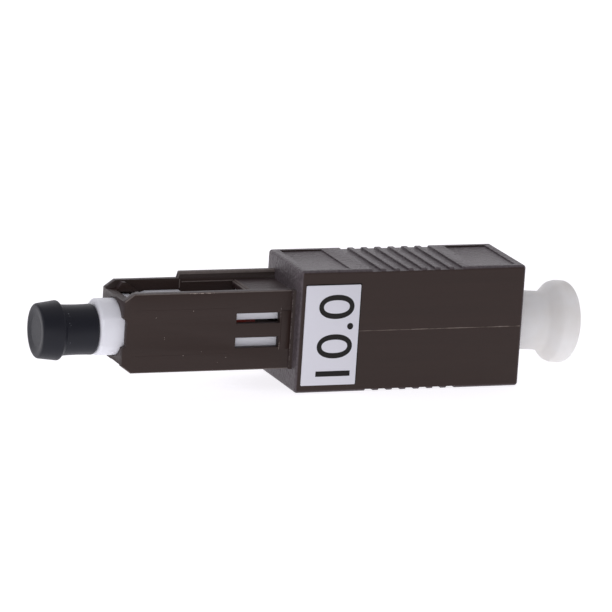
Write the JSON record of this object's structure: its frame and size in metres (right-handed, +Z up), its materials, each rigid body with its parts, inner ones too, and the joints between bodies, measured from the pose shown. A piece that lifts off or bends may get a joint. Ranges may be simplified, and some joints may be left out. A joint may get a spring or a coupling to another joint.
{
  "type": "fibre attenuator",
  "caption": "Plug-in fibre attenuator with a square push-pull plug, a ribbed body with a matching socket, a rubber ferrule cap and a soft dust plug.",
  "frame": {"origin": "under the middle of the overall length, on the plane that the body's lower ribbed face stands on", "axes": "+X along the light path from the plug towards the socket, +Y from the labelled face towards the keyed face, +Z up"},
  "size_m": [0.064, 0.0109, 0.014],
  "materials": {
    "brown_plastic": "fine moulded satin",
    "white_plastic": "moulded satin",
    "dark_red_plastic": "moulded satin",
    "zirconia": "polished",
    "fibre_glass": "clear",
    "black_nickel": "turned and black plated",
    "spring_steel": "drawn wire",
    "black_rubber": "moulded matte",
    "translucent_plastic": "soft translucent",
    "label_film": "satin coated"
  },
  "bodies": {
    "housing": {"outer_housing": "brown_plastic", "sleeve_retainer": "white_plastic", "latch_holder": "white_plastic", "split_sleeve": "zirconia", "rating_label": "label_film"},
    "plug": {"plug_frame": "white_plastic", "spring_stop": "dark_red_plastic", "ferrule_spring": "spring_steel"},
    "ferrule": {"front_ferrule": "zirconia", "rear_ferrule": "zirconia", "attenuating_fibre": "fibre_glass", "ferrule_barrel": "black_nickel"},
    "cap": {"ferrule_cap": "black_rubber"},
    "dust_plug": {"port_plug": "translucent_plastic"}
  },
  "joints": [
    {"name": "frame_slide", "type": "slide", "parent": "housing", "child": "plug", "axis": [1, 0, 0], "range_m": [0, 0.002]},
    {"name": "ferrule_float", "type": "slide", "parent": "plug", "child": "ferrule", "axis": [1, 0, 0], "range_m": [0, 0.001], "stiffness_N_per_m": 1500, "deforming": ["ferrule_spring"]},
    {"name": "cap_pull", "type": "slide", "parent": "plug", "child": "cap", "axis": [-1, 0, 0], "range_m": [0, 0.01]},
    {"name": "port_plug_pull", "type": "slide", "parent": "housing", "child": "dust_plug", "axis": [0.9975, 0, -0.0705], "range_m": [0, 0.014]}
  ]
}
